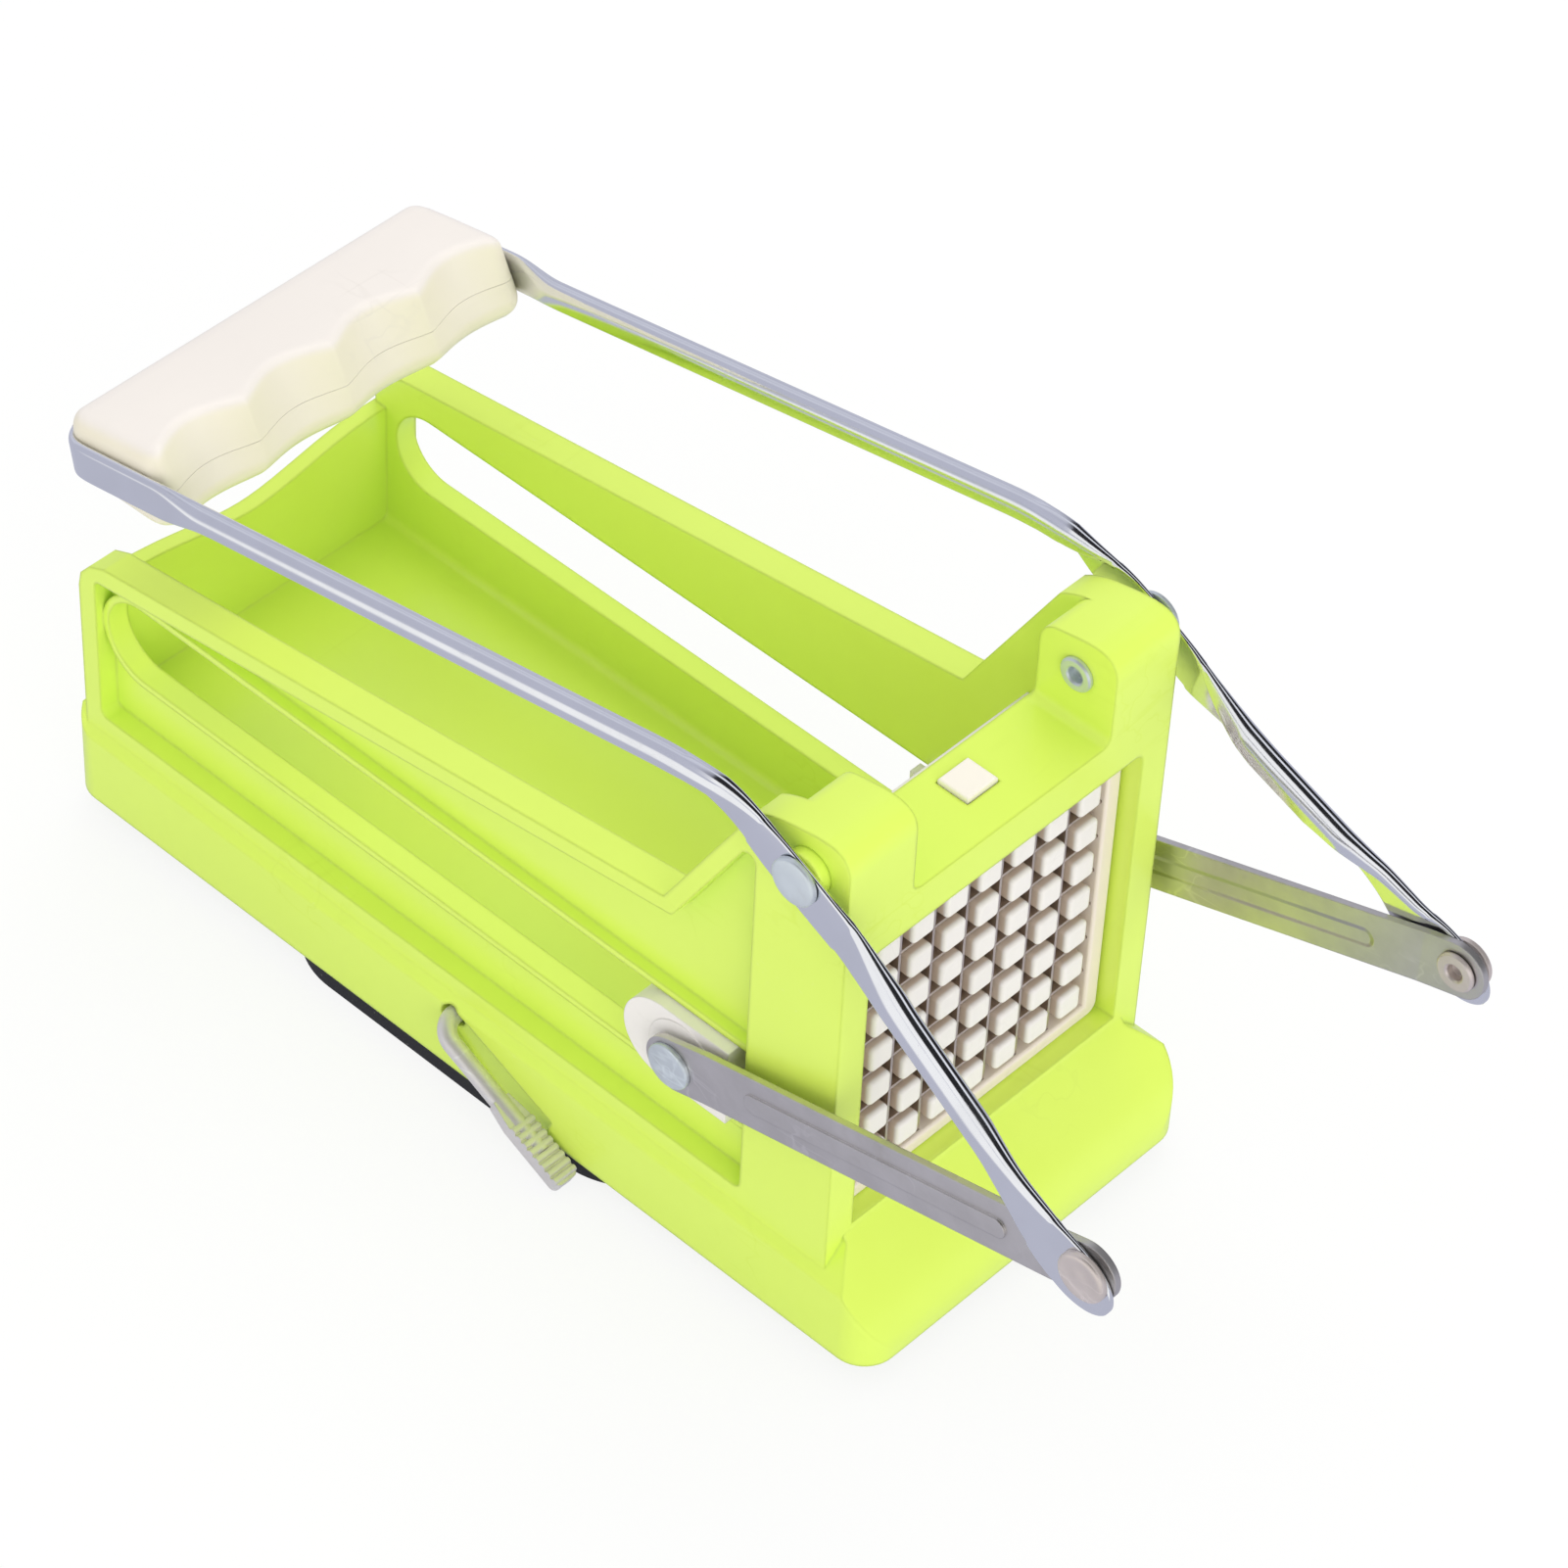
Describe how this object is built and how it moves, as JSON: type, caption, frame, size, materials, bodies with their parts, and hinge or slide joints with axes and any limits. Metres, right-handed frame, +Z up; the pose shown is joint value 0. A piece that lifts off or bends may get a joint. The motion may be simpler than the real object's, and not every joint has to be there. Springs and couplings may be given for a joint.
{
  "type": "french fry cutter",
  "caption": "Hand-operated fry cutter: a lever and links drive a fingered pusher through a square blade grid in a slotted tray housing on a suction base.",
  "frame": {"origin": "centre of the suction pad's flat underside", "axes": "+X from the grip to the blade grid, +Y to the far side, away from the suction lever, +Z up"},
  "size_m": [0.3065, 0.1182, 0.1478],
  "materials": {
    "green_plastic": "semi-gloss lime green moulding",
    "cream_plastic": "satin cream moulding",
    "beige_plastic": "satin beige moulding",
    "blade_steel": "fine brushed, ground edges",
    "chrome": "bright plated strip",
    "link_steel": "satin zinc plate",
    "rivet_steel": "zinc plated, slightly worn",
    "screw_steel": "plain steel",
    "pad_rubber": "matte black"
  },
  "bodies": {
    "base": {"housing": "green_plastic", "cartridge_frame": "beige_plastic", "vertical_blades": "blade_steel", "horizontal_blades": "blade_steel", "near_post_rivet": "rivet_steel", "far_post_rivet": "rivet_steel", "near_post_washer": "beige_plastic", "far_post_washer": "beige_plastic", "suction_pad": "pad_rubber"},
    "lever": {"lever_frame": "chrome", "grip_upper": "cream_plastic", "grip_lower": "cream_plastic", "grip_screws": "screw_steel", "near_link_rivet": "rivet_steel", "far_link_rivet": "rivet_steel"},
    "links": {"near_link": "link_steel", "far_link": "link_steel", "near_pusher_rivet": "rivet_steel", "far_pusher_rivet": "rivet_steel"},
    "pusher": {"pusher": "cream_plastic"},
    "latch": {"latch_button": "beige_plastic"},
    "suction_handle": {"suction_lever": "link_steel", "suction_clip": "screw_steel"},
    "suction_lift": {"suction_stem": "beige_plastic"}
  },
  "joints": [
    {"name": "lever_hinge", "type": "hinge", "parent": "base", "child": "lever", "pos_m": [0.0993, 0, 0.1355], "axis": [0, 1, 0], "range_deg": [0, 90]},
    {"name": "link_hinge", "type": "hinge", "parent": "lever", "child": "links", "pos_m": [0.18135, 0, 0.09279], "axis": [0, 1, 0], "range_deg": [-71.16, 0]},
    {"name": "pusher_slide", "type": "slide", "parent": "base", "child": "pusher", "axis": [1, 0, 0], "range_m": [-0.12994, 0]},
    {"name": "latch_press", "type": "slide", "parent": "base", "child": "latch", "axis": [0, 0, -1], "range_m": [0, 0.0032], "stiffness_N_per_m": 800, "springref_m": -0.0005},
    {"name": "suction_turn", "type": "hinge", "parent": "base", "child": "suction_handle", "pos_m": [0.0032, 0, 0.0214], "axis": [0, -1, 0], "range_deg": [0, 60]},
    {"name": "suction_rise", "type": "slide", "parent": "base", "child": "suction_lift", "axis": [0, 0, 1], "range_m": [0, 0.00252]}
  ],
  "couplings": [
    {"joint": "link_hinge", "follows": "lever_hinge", "ratio": -0.78513},
    {"joint": "pusher_slide", "follows": "lever_hinge", "m_per_rad": -0.082531},
    {"joint": "suction_rise", "follows": "suction_turn", "m_per_rad": 0.0023873}
  ]
}
